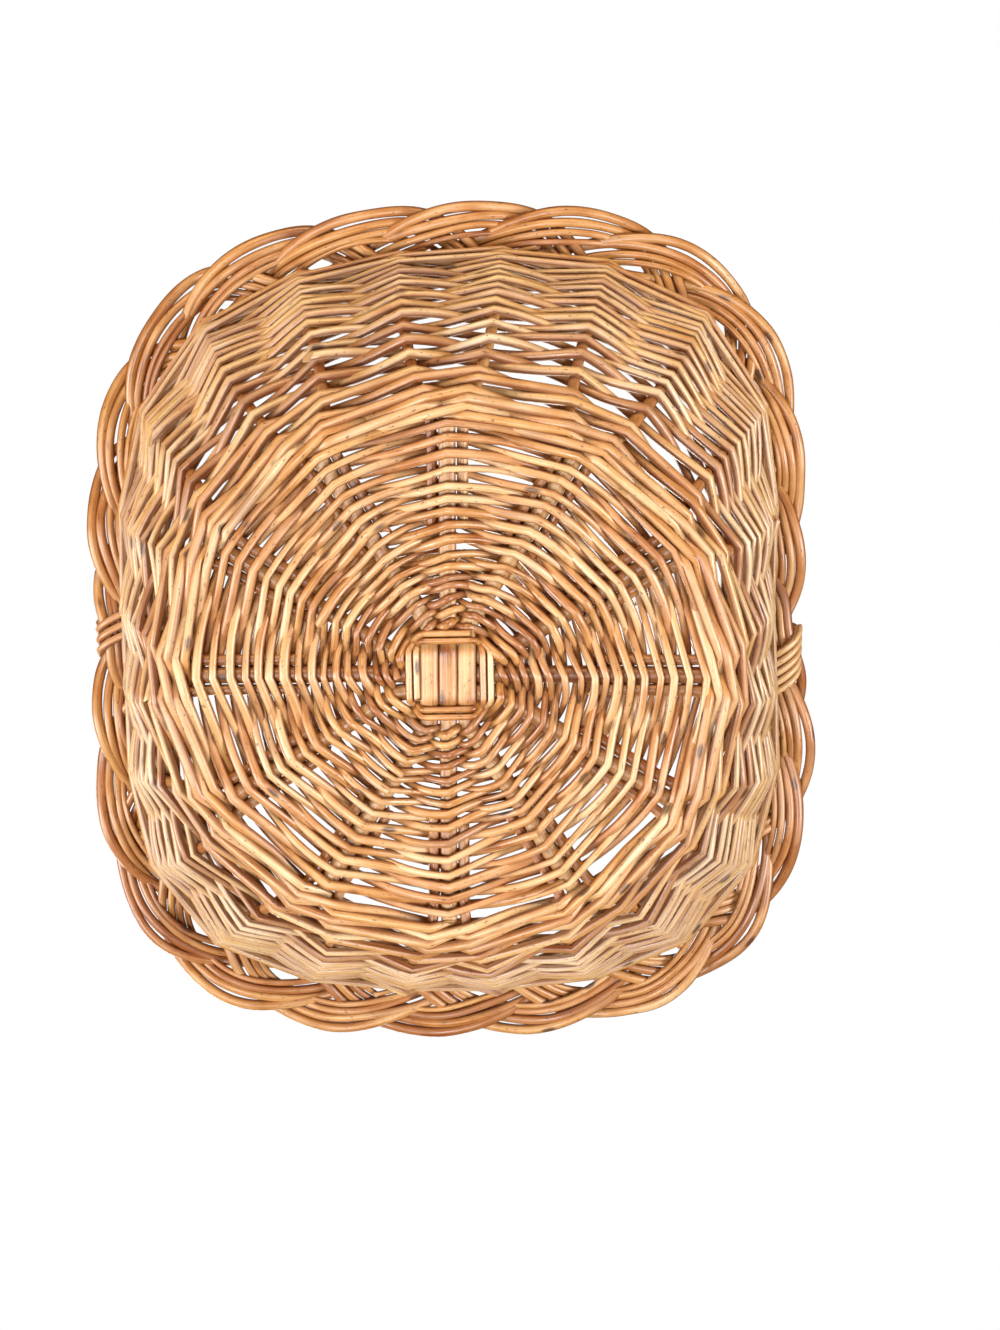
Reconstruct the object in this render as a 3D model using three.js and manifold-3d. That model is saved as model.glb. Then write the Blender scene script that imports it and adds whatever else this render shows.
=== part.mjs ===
// Willow gathering basket: a round stick base, side stakes with an open woven wall,
// a three-strand plaited border with a rounded-square outline, and a fixed roped bow handle.
// Millimetres, +Z up, the long side along Y, the handle across X, the foot on z = 0.
import * as THREE from "three";
import { mergeVertices } from "three/addons/utils/BufferGeometryUtils.js";
import Module from "manifold-3d";

const wasm = await Module();
wasm.setup();

// Rods
const stickDiameter = 7.2;
const stakeDiameter = 4.6;
const tieDiameter = 3;
const baseWeaverDiameter = 4;
const upsettDiameter = 4.8;
const sidingDiameter = 3.5;
const bowDiameter = 12;
const ropingDiameter = 4.2;
const lashingDiameter = 3.6;
const rodGap = 0.3; // air between rods that lie on each other

// Base: three sticks threaded through three split ones
const spokes = 12;
const stickReach = 106; // centre to a stick's cut end
const stickFanStart = 20; // distance from the centre where the outer sticks fan out
const splitSwell = 2; // how far the split sticks open above and below
const threadedThickness = 5; // the threaded sticks are shaved flat in the splits
const baseDome = 3; // the middle of the base stands this much higher than its edge
const tieStart = 15.6;
const tieTurns = 1.5;
const innerTurns = 4;
const outerTurns = 4;

// Wall
const stakes = 2 * spokes;
const stakeStart = 61.5; // centre to a stake's cut end, beside its stick
const bendClearance = 5.5; // from the sticks' ends to where the stakes turn up
const bendRadius = stickReach + bendClearance;
const footCut = 0.5; // the lowest rod is worn flat this deep
const wallHeight = 80.5; // from the bend to the border
const wallFootSpread = 1.5; // the wall's foot stands this far outside the bend
const wallFootRadius = bendRadius + wallFootSpread;
const wallTopHalfWidth = 140;
const wallTopHalfLength = 161;
const wallBulge = 6;
const outlinePower = 3.3; // 2 is an ellipse, higher is squarer
const sidingRows = 12;
const rowAirLow = 1.1; // air between the rows at the foot
const rowAirHigh = 0.55; // air between the rows under the border
const topWaleRows = 3;

// Border
const overhangAcross = 1; // top of the wall to the plait's centre line, across
const overhangAlong = 9; // and along
const plaitHalfWidth = wallTopHalfWidth + overhangAcross;
const plaitHalfLength = wallTopHalfLength + overhangAlong;
const plaitReach = 17; // centre line to the plait's inner and outer edge
const strandWidth = 11;
const strandThickness = 5.3;
const strandLift = 5.4; // up and down swing of a strand as it crosses the others

// Handle
const handleHeight = 285; // foot to the top of the roping
const legBottom = 34; // how low the bow's ends reach inside the wall
const ropingRods = 4;
const ropingTurns = 6;
const lashingPitch = 4.3;
const lashingSlant = 5;
const lashingLoops = { left: 5, right: 3 };

const turn = 2 * Math.PI;
const mix = (a, b, t) => a + (b - a) * t;
const vec = (x, y, z) => new THREE.Vector3(x, y, z);
const polar = (r, angle, z) => vec(r * Math.cos(angle), r * Math.sin(angle), z);
const radial = (angle) => polar(1, angle, 0);
const signedPower = (v, p) => Math.sign(v) * Math.abs(v) ** p;
const up = vec(0, 0, 1);
const down = vec(0, 0, -1);

// Offset at which a strand that swings from one side of a stake to the other side of the next
// still clears both, with the stakes a spacing apart.
const swingOffset = (clear, spacing) =>
  clear / Math.sqrt(1 - (2 * clear / spacing) ** 2);

// Radius at an angle of a superellipse with the given half axes.
const outline = (a, b, angle) =>
  (Math.abs(Math.cos(angle) / a) ** outlinePower +
    Math.abs(Math.sin(angle) / b) ** outlinePower) ** (-1 / outlinePower);

// A rod as one closed body. Each station has a point p, a side direction n, and half sizes
// across (along n) and wide (square to n and to the rod).
function rodGeometry(stations, sides, { closed = false, phase = 0 } = {}) {
  const count = stations.length;
  const position = [];
  stations.forEach((s, i) => {
    const before = stations[closed ? (i + count - 1) % count : Math.max(i - 1, 0)].p;
    const after = stations[closed ? (i + 1) % count : Math.min(i + 1, count - 1)].p;
    const along = after.clone().sub(before).normalize();
    const side = s.n.clone().addScaledVector(along, -s.n.dot(along)).normalize();
    const wide = along.clone().cross(side);
    for (let k = 0; k < sides; k++) {
      const a = phase + (turn * k) / sides;
      const q = s.p.clone()
        .addScaledVector(side, s.across * Math.cos(a))
        .addScaledVector(wide, (s.wide ?? s.across) * Math.sin(a));
      position.push(q.x, q.y, q.z);
    }
  });
  const index = [];
  const loops = closed ? count : count - 1;
  for (let i = 0; i < loops; i++)
    for (let k = 0; k < sides; k++) {
      const a = i * sides + k;
      const b = i * sides + ((k + 1) % sides);
      const c = ((i + 1) % count) * sides + k;
      const d = ((i + 1) % count) * sides + ((k + 1) % sides);
      index.push(a, b, d, a, d, c);
    }
  if (!closed)
    for (let k = 1; k < sides - 1; k++) {
      const last = (count - 1) * sides;
      index.push(0, k + 1, k, last, last + k, last + k + 1);
    }
  const geometry = new THREE.BufferGeometry();
  geometry.setAttribute("position", new THREE.Float32BufferAttribute(position, 3));
  geometry.setIndex(index);
  return geometry;
}

const solidOf = (geometry) => {
  const bare = geometry.clone();
  bare.deleteAttribute("normal");
  bare.deleteAttribute("uv");
  const merged = mergeVertices(bare);
  return new wasm.Manifold(new wasm.Mesh({
    numProp: 3,
    vertProperties: new Float32Array(merged.attributes.position.array),
    triVerts: new Uint32Array(merged.index.array),
  }));
};

function cut(geometry, tool) {
  const mesh = solidOf(geometry).subtract(solidOf(tool)).getMesh();
  const result = new THREE.BufferGeometry();
  result.setAttribute("position", new THREE.BufferAttribute(mesh.vertProperties, 3));
  result.setIndex(new THREE.BufferAttribute(mesh.triVerts, 1));
  return result;
}

// Least air between turns of one rod, measured from point to point along its centre line.
function leastSelfGap(points, diameter, skip) {
  let least = Infinity;
  points.forEach((p, i) => {
    for (let j = i + skip; j < points.length; j++)
      least = Math.min(least, p.distanceTo(points[j]) - diameter);
  });
  return least;
}

const basket = new THREE.Group();
const willow = { stick: 0xb9824f, stake: 0xa8602f, weaver: 0xcf9a62, border: 0xc98c55,
  handle: 0xd2a068 };
function add(name, geometry, colour) {
  const smooth = geometry.clone();
  smooth.computeVertexNormals();
  const material = new THREE.MeshStandardMaterial({ color: colour, roughness: 0.55,
    metalness: 0, flatShading: true });
  const mesh = new THREE.Mesh(smooth, material);
  mesh.name = name;
  basket.add(mesh);
}

// Heights that follow from the rods
const stickRadius = stickDiameter / 2;
const stakeRadius = stakeDiameter / 2;
const stakeClear = stakeRadius + rodGap;
const upsettSwing = stakeClear + upsettDiameter / 2 + rodGap;
const footLean = vec(0.3, 0, -0.95); // the foot rod lies under the bend and a little outside
const footSides = 6;
const footFlat = (upsettDiameter / 2) * Math.cos(Math.PI / footSides);
const bendLevel = footFlat - footCut - upsettSwing * footLean.z;
const baseSwing = stickRadius + baseWeaverDiameter / 2 + rodGap;
const baseLevel = Math.max(bendLevel + 1.5, baseSwing + baseWeaverDiameter / 2 + footCut);
const levelAt = (r) => baseLevel + baseDome * (1 - (r / stickReach) ** 2);

// Spokes: in each arm one straight stick between two that fan out to a twelfth of a turn
const spokeAngle = (j) => (turn * j) / spokes;
const stickPitch = stickDiameter + 1.4 * rodGap;
const fan = spokeAngle(1);
function lateralAt(side, a) {
  const end = { a: stickReach * Math.cos(fan), l: stickReach * Math.sin(fan) };
  const t = Math.max(0, (Math.abs(a) - stickFanStart) / (end.a - stickFanStart));
  return side * mix(stickPitch, end.l, t);
}
function armPoint(arm, a, lateral, z) {
  const angle = (turn * arm) / 4;
  return radial(angle).multiplyScalar(a).addScaledVector(radial(angle + turn / 4), lateral)
    .setZ(z);
}
// Place and direction of spoke j at a distance r from the centre
function spokeAt(j, r) {
  const arm = Math.round(j / 3);
  const side = j - 3 * arm;
  let a = r;
  for (let pass = 0; pass < 30; pass++) a = Math.sqrt(r * r - lateralAt(side, a) ** 2);
  const step = 0.5;
  const p = armPoint(arm, a, lateralAt(side, a), levelAt(r));
  const q = armPoint(arm, a + step, lateralAt(side, a + step), levelAt(r));
  return { p, along: q.sub(p).normalize() };
}

// Base sticks: the three along Y are split and swell round the three along X
const nest = 1.5 * stickPitch + rodGap;
const halfSlot = threadedThickness / 2 + rodGap;
const stickStops = (side) => {
  const end = side ? stickReach * Math.cos(fan) : stickReach;
  const half = [end, mix(end, stickFanStart, 0.5), stickFanStart, nest + 2, nest];
  return [...half.map((a) => -a), ...half.reverse()];
};
function stickGeometry(arm, side, halfHeightAt) {
  return rodGeometry(stickStops(side).map((a) => ({
    p: armPoint(arm, a, lateralAt(side, a), levelAt(Math.hypot(a, lateralAt(side, a)))),
    n: up,
    across: halfHeightAt(Math.abs(a)),
    wide: stickRadius,
  })), 8, { phase: Math.PI / 8 });
}
for (const side of [-1, 0, 1]) {
  const shaved = (a) => (a > nest + 1 ? stickRadius : threadedThickness / 2);
  add(`base_stick_threaded_${side + 2}`, stickGeometry(0, side, shaved), willow.stick);
  const swelled = (a) => (a > nest + 1 ? stickRadius : stickRadius + splitSwell);
  const slot = new THREE.BoxGeometry(4 * stickDiameter, 2 * nest, 2 * halfSlot);
  slot.translate(0, 0, levelAt(0));
  add(`base_stick_split_${side + 2}`, cut(stickGeometry(1, side, swelled), slot),
    willow.stick);
}

// Ties: two rods that bind the four arms of three sticks, over one arm and under the next
const tieSwing = stickRadius + tieDiameter / 2 + rodGap;
const tiePitch = tieDiameter + 0.4;
const armWidth = (a) => lateralAt(1, a) + stickRadius;
for (const [k, name] of ["a", "b"].entries()) {
  const stations = [];
  const first = 2 * k;
  for (let m = 0; m < 4 * tieTurns; m++) {
    const arm = first + m;
    const level = (arm % 2 ? -1 : 1) * (k ? -1 : 1) * tieSwing;
    for (const end of [-1, 1]) {
      const a = tieStart + (2 * tiePitch * (m + 0.25 * end)) / 4;
      stations.push({ p: armPoint(arm, a, end * armWidth(a), levelAt(a) + level), n: up,
        across: tieDiameter / 2 });
    }
  }
  add(`base_tie_${name}`, rodGeometry(stations, 4), willow.weaver);
}

// Base weaving: two rods chase each other outwards, over one spoke and under the next
function baseWeaver(start, pitch, turns, diameter, clear, lateral, phase) {
  const stations = [];
  for (let m = 0; m < spokes * turns; m++) {
    const j = (m + phase * spokes / 2) % spokes;
    const over = (j + phase) % 2 ? -1 : 1;
    for (const end of [-1, 1]) {
      const r = start + 2 * pitch * (m + 0.25 * end) / spokes;
      const { p, along } = spokeAt(j, r);
      const across = up.clone().cross(along);
      p.addScaledVector(across, end * lateral(j, r)).setZ(p.z + over * clear);
      stations.push({ p, n: up, across: diameter / 2 });
    }
  }
  return stations;
}
const spokeSpacing = (r) => Math.min(
  spokeAt(0, r).p.distanceTo(spokeAt(1, r).p), spokeAt(1, r).p.distanceTo(spokeAt(2, r).p));
// Half width over which a rod stays flat on a stick before it dips to the next one
const flatHalfWidth = (j, r) => {
  const s = spokeSpacing(r);
  return (s - Math.sqrt(s * s - 4 * tieSwing * tieSwing)) / 2;
};
const innerPitch = tieDiameter + 0.4;
const innerStart = stakeStart - 2.3 - 2 * innerPitch * innerTurns;
const stakeBeside = stickRadius + stakeRadius + rodGap;
const outerPitch = baseWeaverDiameter + 0.4;
const outerStart = stickReach - baseWeaverDiameter - 2 * outerPitch * outerTurns;
for (const [k, name] of ["a", "b"].entries()) {
  add(`base_weaver_inner_${name}`, rodGeometry(baseWeaver(innerStart, innerPitch,
    innerTurns, tieDiameter, tieSwing, flatHalfWidth, k), 4), willow.weaver);
  add(`base_weaver_outer_${name}`, rodGeometry(baseWeaver(outerStart, outerPitch,
    outerTurns, baseWeaverDiameter, baseSwing, () => stakeBeside, k), 4), willow.weaver);
}

// Wall surface: from the round foot to the rounded-square rim
function wallPoint(angle, u) {
  const rim = outline(wallTopHalfWidth, wallTopHalfLength, angle);
  const r = mix(wallFootRadius, rim, u) + wallBulge * Math.sin(Math.PI * u);
  return polar(r, angle, bendLevel + wallHeight * u);
}
function wallNormal(angle, u) {
  const step = 1e-3;
  const round = wallPoint(angle + step, u).sub(wallPoint(angle - step, u));
  const rise = wallPoint(angle, u + step).sub(wallPoint(angle, u - step));
  return round.cross(rise).normalize();
}
const slant = Math.hypot(wallTopHalfWidth - wallFootRadius, wallHeight);
const openHalf = turn / stakes / 2; // half the even spacing of the stakes
const bendHalf = Math.asin((stakeBeside + stakeRadius) / bendRadius);
// Angle of stake k at a height share u: pairs open out evenly by the middle of the wall
function stakeAngle(k, u) {
  const spread = mix(openHalf, bendHalf * 1.2, Math.max(0, 1 - u / 0.5) ** 2);
  return spokeAngle(Math.floor(k / 2)) + (k % 2 ? 1 : -1) * spread;
}
function bendPoint(k) {
  const angle = spokeAngle(Math.floor(k / 2)) + (k % 2 ? 1 : -1) * bendHalf;
  return polar(bendRadius, angle, bendLevel);
}

// Side stakes: a cut end beside each stick, the bend at the base edge, then up the wall
const stakeTop = 1;
for (let k = 0; k < stakes; k++) {
  const j = Math.floor(k / 2);
  const side = k % 2 ? 1 : -1;
  const beside = (r) => {
    const { p, along } = spokeAt(j, r);
    return p.addScaledVector(up.clone().cross(along), side * stakeBeside);
  };
  const stations = [stakeStart, mix(stakeStart, stickReach, 0.5), stickReach - 3]
    .map((r) => ({ p: beside(r), n: down }));
  stations.push({ p: bendPoint(k), n: down });
  for (const u of [0.07, 0.2, 0.4, 0.7, stakeTop]) {
    const angle = stakeAngle(k, u);
    stations.push({ p: wallPoint(angle, u), n: wallNormal(angle, u) });
  }
  stations.forEach((s) => (s.across = stakeRadius));
  add(`stake_${String(k + 1).padStart(2, "0")}`, rodGeometry(stations, 6), willow.stake);
}

// A rod woven round the wall, one station at each stake: outside is a function of the stake
function wallRod(diameter, rowAt, outside, first, count) {
  const stations = [];
  for (let m = 0; m < count; m++) {
    const k = (first + m) % stakes;
    const u = rowAt(m);
    const angle = stakeAngle(k, u);
    const spacing = 2 * Math.sin(Math.abs(angle - spokeAngle(Math.floor(k / 2)))) *
      wallFootRadius;
    const swing = swingOffset(stakeClear + diameter / 2, spacing);
    const n = wallNormal(angle, u);
    const p = wallPoint(angle, u).addScaledVector(n, (outside(k) ? 1 : -1) * swing);
    stations.push({ p, n, across: diameter / 2 });
  }
  return stations;
}

// Upsett: one rod under the bend in pairs of stakes, worn flat where the basket stands,
// then two rods that pass in front of two stakes and behind one
const under = Array.from({ length: stakes }, (_, k) => {
  const out = Math.floor(k / 2) % 2 ? -1 : 1;
  const lean = radial(stakeAngle(k, 0)).multiplyScalar(footLean.x).setZ(footLean.z);
  return { p: bendPoint(k).addScaledVector(lean, out * upsettSwing), n: up,
    across: upsettDiameter / 2 };
});
const ground = new THREE.BoxGeometry(4 * bendRadius, 4 * bendRadius, bendRadius);
ground.translate(0, 0, -bendRadius / 2);
add("upsett_rod_1", cut(rodGeometry(under, footSides,
  { closed: true, phase: Math.PI / footSides }), ground), willow.border);
const upsettStep = (upsettDiameter + 0.8) / slant;
const inFrontOfTwo = (shift) => (k) => (k + shift) % 3 !== 0;
for (let row = 1; row < 3; row++)
  add(`upsett_rod_${row + 1}`, rodGeometry(wallRod(upsettDiameter,
    () => 0.02 + upsettStep * row, inFrontOfTwo(row), 0, stakes), 6, { closed: true }),
  willow.border);

// Siding: two rods chase each other up the wall, rows tighter towards the border
const sidingFirst = 0.02 + 2 * upsettStep +
  (upsettDiameter / 2 + sidingDiameter / 2 + 0.8) / slant;
const rowLow = (sidingDiameter + rowAirLow) / slant;
const rowHigh = (sidingDiameter + rowAirHigh) / slant;
const sidingRow = (row) => {
  const last = sidingRows - 1;
  return sidingFirst + rowLow * row - ((rowLow - rowHigh) * row * row) / (2 * last);
};
const halfTurns = sidingRows - 1;
for (const [half, name] of ["a", "b"].entries()) {
  const first = half * stakes / 2;
  add(`siding_weaver_${name}`, rodGeometry(wallRod(sidingDiameter,
    (m) => sidingRow(2 * m / stakes), (k) => (k + half) % 2 === 0, first,
    halfTurns * stakes / 2 + 1), 4), willow.weaver);
}

// Top wale: closed rounds that lock the siding below the border
const waleFirst = sidingRow(halfTurns) + rowHigh;
for (let row = 0; row < topWaleRows; row++)
  add(`top_wale_rod_${row + 1}`, rodGeometry(wallRod(sidingDiameter,
    () => waleFirst + rowHigh * row, inFrontOfTwo(2 * row + 1), 0, stakes), 5,
  { closed: true }), willow.weaver);

// Border: three strands plaited round the rim, one scallop for each stake
const plaitSwing = plaitReach - strandWidth / 2;
const plaitHalfHeight = strandLift + strandThickness / 2;
const plaitLevel = bendLevel + wallHeight * stakeTop + rodGap + plaitHalfHeight;
const plaitPeriods = stakes / 3;
const plaitPoint = (angle, side, lift) => {
  const r = outline(plaitHalfWidth, plaitHalfLength, angle);
  return polar(r + side, angle, plaitLevel + lift);
};
for (let strand = 0; strand < 3; strand++) {
  const steps = 8 * plaitPeriods;
  const stations = Array.from({ length: steps }, (_, i) => {
    const angle = (turn * i) / steps;
    const phase = plaitPeriods * angle + turn * (strand / 3 + 1 / 6);
    return {
      p: plaitPoint(angle, plaitSwing * Math.sin(phase), -strandLift * Math.sin(2 * phase)),
      n: up,
      across: strandThickness / 2,
      wide: strandWidth / 2,
    };
  });
  add(`border_strand_${strand + 1}`, rodGeometry(stations, 6, { closed: true }),
    willow.border);
}

// Bow: legs down inside the wall, then one arch over the middle
const bowRadius = bowDiameter / 2;
const ropingRadius = (bowRadius + ropingDiameter / 2 + rodGap) / Math.cos(Math.PI / 10);
const lashingSpace = lashingDiameter + 3 * rodGap;
const legOut = plaitHalfWidth - plaitReach - lashingSpace - bowRadius;
const wallInside = (z) => {
  const u = (z - bendLevel) / wallHeight;
  return wallPoint(0, u).x - sidingDiameter - stakeClear - bowRadius - 2 * rodGap;
};
const archFoot = plaitLevel + plaitHalfHeight + lashingDiameter;
const archRise = handleHeight - archFoot - ropingRadius - ropingDiameter / 2;
const arch = (t) => vec(legOut * Math.cos(t), 0, archFoot + archRise * Math.sin(t));
const legStops = [0, 0.35, 0.7].map((t) => mix(legBottom, archFoot, t));
const leg = legStops.map((z) => vec(Math.min(legOut, wallInside(z)), 0, z));
const archSteps = 20;
const bowPath = [
  ...leg,
  ...Array.from({ length: archSteps + 1 }, (_, i) => arch((Math.PI * i) / archSteps)),
  ...leg.map((p) => vec(-p.x, 0, p.z)).reverse(),
];
add("handle_bow", rodGeometry(bowPath.map((p) => ({ p, n: vec(0, 1, 0),
  across: bowRadius })), 10), willow.handle);

// Roping: rods wound round the arch side by side
for (let rod = 0; rod < ropingRods; rod++) {
  const steps = 10 * ropingTurns;
  const stations = Array.from({ length: steps + 1 }, (_, i) => {
    const t = mix(0.04, Math.PI - 0.04, i / steps);
    const centre = arch(t);
    const along = arch(t + 1e-3).sub(arch(t - 1e-3)).normalize();
    const across = along.clone().cross(vec(0, 1, 0));
    const a = turn * (rod / ropingRods + (ropingTurns * i) / steps);
    const n = across.multiplyScalar(Math.cos(a)).add(vec(0, Math.sin(a), 0));
    return { p: centre.addScaledVector(n, ropingRadius), n, across: ropingDiameter / 2 };
  });
  add(`handle_roping_${rod + 1}`, rodGeometry(stations, 4), willow.handle);
  if (!rod)
    console.log("roping rod, least gap to itself:",
      leastSelfGap(stations.map((s) => s.p), ropingDiameter, 8).toFixed(2), "mm");
}

// Lashings: each a rod wound round the border in slanting turns at the foot of the bow
for (const [name, mirror] of [["left", -1], ["right", 1]]) {
  const loops = lashingLoops[name];
  const steps = 14;
  const air = 1.3 * rodGap + lashingDiameter / 2;
  const stations = Array.from({ length: loops * steps + 1 }, (_, i) => {
    const a = (turn * i) / steps;
    const n = vec(mirror * Math.cos(a), 0, Math.sin(a));
    const sideways = signedPower(Math.cos(a), 0.6);
    const p = vec(
      mirror * (plaitHalfWidth + (plaitReach + air) * sideways),
      -mirror * (lashingPitch * (i / steps - loops / 2) + lashingSlant * sideways),
      plaitLevel + (plaitHalfHeight + air) * signedPower(Math.sin(a), 0.6),
    );
    return { p, n, across: lashingDiameter / 2 };
  });
  add(`handle_lashing_${name}`, rodGeometry(stations, 5), willow.handle);
  console.log(`${name} lashing, least gap to itself:`,
    leastSelfGap(stations.map((s) => s.p), lashingDiameter, steps - 4).toFixed(2), "mm");
}

export default basket;
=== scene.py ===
import bpy
import numpy as np
from mathutils import Matrix


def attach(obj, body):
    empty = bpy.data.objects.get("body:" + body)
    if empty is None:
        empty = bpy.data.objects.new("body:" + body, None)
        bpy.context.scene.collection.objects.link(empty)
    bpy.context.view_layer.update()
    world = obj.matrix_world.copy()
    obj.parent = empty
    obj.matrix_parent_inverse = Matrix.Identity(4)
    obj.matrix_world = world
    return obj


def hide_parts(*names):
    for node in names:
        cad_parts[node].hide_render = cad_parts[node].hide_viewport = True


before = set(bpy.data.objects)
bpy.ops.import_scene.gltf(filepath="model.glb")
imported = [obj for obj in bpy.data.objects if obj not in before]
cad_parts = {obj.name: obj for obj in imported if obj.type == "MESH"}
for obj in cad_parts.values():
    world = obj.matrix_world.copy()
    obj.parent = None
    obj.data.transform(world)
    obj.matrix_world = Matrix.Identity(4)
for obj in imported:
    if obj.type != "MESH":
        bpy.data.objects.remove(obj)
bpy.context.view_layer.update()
scene = bpy.context.scene
metre = 0.001  # the pieces are worked out in millimetres
fullTurn = 2 * np.pi
chance = np.random.default_rng(7)

camera = {
    "place": (-0.0211, 0.1911, -0.8705),
    "tilt": np.radians(12),  # the line of sight leans this much from straight up
    "lens": 59.96,
    "sensor": 36,
    "clip": (0.05, 20),
}


# Matrix of an object at a place whose own X, Y and Z run along the three directions given.
def placed(x, y, z, place):
    return Matrix([[x[i], y[i], z[i], place[i]] for i in range(3)] + [[0, 0, 0, 1]])


# The view's right is -X. Its up and its back are +Y and -Z, turned about X by the tilt.
def placeCamera(c):
    data = bpy.data.cameras.new("photoCamera")
    data.lens, data.sensor_width, data.sensor_fit = c["lens"], c["sensor"], "AUTO"
    data.clip_start, data.clip_end = c["clip"]
    obj = bpy.data.objects.new("photoCamera", data)
    s, k = np.sin(c["tilt"]), np.cos(c["tilt"])
    obj.matrix_world = placed((-1, 0, 0), (0, k, s), (0, s, -k), c["place"])
    scene.collection.objects.link(obj)
    scene.camera = obj


light = {
    "worldCamera": 1.0,  # what the camera sees behind the basket: plain white
    "worldFill": 0.12,
    "fillColour": "#FFCC94",  # the room's fill is warmed by the willow itself
    "lamps": [  # name, place, aim, size, watts, colour
        ("keyFront", (0.3, -0.2, -1.4), (0, 0, 0.05), 0.5, 13.8, "#FFFAF6"),
        ("fillRight", (-1.0, -0.1, -0.7), (0, 0, 0.05), 0.5, 15.0, "#FFFCF8"),
        ("fillLeft", (1.0, -0.3, -0.45), (0, 0, 0.05), 0.5, 12.0, "#FFFCF8"),
        ("fillBack", (0.1, 1.0, -0.55), (0, 0, 0.05), 0.5, 7.2, "#FFDDB2"),
        ("topSoft", (0.5, -0.7, 1.3), (0, 0, 0.1), 1.2, 30.0, "#FFFDF8"),
    ],
    "floorSize": 3.0,
    "floorColour": "#F1F0EE",
    "floorRough": 0.9,
}


def linear(code):  # sRGB hex to linear light, opaque
    c = np.array([int(code[i:i + 2], 16) for i in (1, 3, 5)]) / 255
    c = np.where(c <= 0.04045, c / 12.92, ((c + 0.055) / 1.055) ** 2.4)
    return (*[float(v) for v in c], 1.0)


# Adds a node, sets its properties or sockets, and links sockets from (node, output) pairs.
def addNode(tree, kind, settings=None, links=None):
    node = tree.nodes.new(kind)
    for key, value in (settings or {}).items():
        if isinstance(key, str) and hasattr(node, key):
            setattr(node, key, value)
        else:
            node.inputs[key].default_value = value
    for key, (source, output) in (links or {}).items():
        tree.links.new(source.outputs[output], node.inputs[key])
    return node


# The camera sees a white world and everything else a weak warm one. Each square lamp faces its aim: its
# back points from the aim to its place, and its side is square to that and to Y.
def lightScene(s):
    world = bpy.data.worlds.new("studio")
    scene.world = world
    world.use_nodes = True
    tree = world.node_tree
    tree.nodes.clear()
    path = addNode(tree, "ShaderNodeLightPath")
    seen = addNode(tree, "ShaderNodeBackground", {"Strength": s["worldCamera"], "Color": (1, 1, 1, 1)})
    fill = addNode(tree, "ShaderNodeBackground",
                   {"Strength": s["worldFill"], "Color": linear(s["fillColour"])})
    both = addNode(tree, "ShaderNodeMixShader", {}, {0: (path, "Is Camera Ray"), 1: (fill, 0), 2: (seen, 0)})
    addNode(tree, "ShaderNodeOutputWorld", {}, {"Surface": (both, 0)})
    for name, place, aim, size, watts, colour in s["lamps"]:
        data = bpy.data.lights.new(name, "AREA")
        data.shape, data.size, data.energy = "SQUARE", size, watts
        data.color = linear(colour)[:3]
        obj = bpy.data.objects.new(name, data)
        back = np.array(place, float) - np.array(aim, float)
        back /= np.linalg.norm(back)
        side = np.cross((0, 1, 0), back)
        side /= np.linalg.norm(side)
        obj.matrix_world = placed(side, np.cross(back, side), back, place)
        scene.collection.objects.link(obj)


# A flat square at one height that shows only from its upper side.
def groundSheet(name, s, height):
    h = s["floorSize"] / 2
    mesh = bpy.data.meshes.new(name)
    corners = [(-h, -h, height), (h, -h, height), (h, h, height), (-h, h, height)]
    mesh.from_pydata(corners, [], [(0, 1, 2, 3)])
    obj = bpy.data.objects.new(name, mesh)
    scene.collection.objects.link(obj)
    material = bpy.data.materials.new("matt studio paper")
    material.use_nodes = True
    tree = material.node_tree
    tree.nodes.clear()
    side = addNode(tree, "ShaderNodeNewGeometry")
    paper = addNode(tree, "ShaderNodeBsdfPrincipled",
                    {"Base Color": linear(s["floorColour"]), "Roughness": s["floorRough"]})
    clear = addNode(tree, "ShaderNodeBsdfTransparent")
    both = addNode(tree, "ShaderNodeMixShader", {}, {0: (side, "Backfacing"), 1: (paper, 0), 2: (clear, 0)})
    addNode(tree, "ShaderNodeOutputMaterial", {}, {"Surface": (both, 0)})
    mesh.materials.append(material)
    obj.visible_shadow = obj.visible_diffuse = obj.visible_glossy = obj.visible_transmission = False


placeCamera(camera)
lightScene(light)
groundSheet("floor", light, 0.0)
print("camera, light and ground are set")

# Sizes in millimetres that the pieces share with each other and with the CAD model.
basket = {
    "arms": 4, "perArm": 3, "spokes": 12, "stakes": 24,
    "stickRadius": 3.6, "stickReach": 106.0, "stickPitch": 7.62, "fanStart": 20.0,
    "threadedHalf": 2.5, "nest": 11.73,  # half thickness of a threaded stick and half width of the crossing
    "baseLevel": 8.4, "baseDome": 3.0,
    "stakeRadius": 2.3, "stakeBeside": 6.2, "bendRadius": 111.5, "bendLevel": 7.7,
    "footSpread": 1.2, "evenFrom": 0.5,  # times the spread at the bend; even from this share of the height
    "wallFootRadius": 113.0, "wallBottom": 6.61, "wallHeight": 80.5,
    "topHalfWidth": 140.0, "topHalfLength": 161.0, "bulge": 6.0, "outlinePower": 3.3,
    "plaitHalfWidth": 144.0, "plaitHalfLength": 170.8, "plaitLevel": 95.5, "plaitPeriods": 8,
    # the border and the top of the wall as the hand left them: waves round the basket, millimetres, and
    # degrees of their highest place
    "uneven": [(1, 2.0, -79.0), (2, 1.1, -45.0), (3, 2.0, -18.0), (4, 1.4, 28.0), (6, 1.7, 27.0)],
    "wallUneven": [(1, 1.4, 88.0), (2, 1.1, -45.0), (3, 2.0, -18.0), (4, 1.4, 28.0), (6, 1.7, 27.0)],
}
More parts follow.
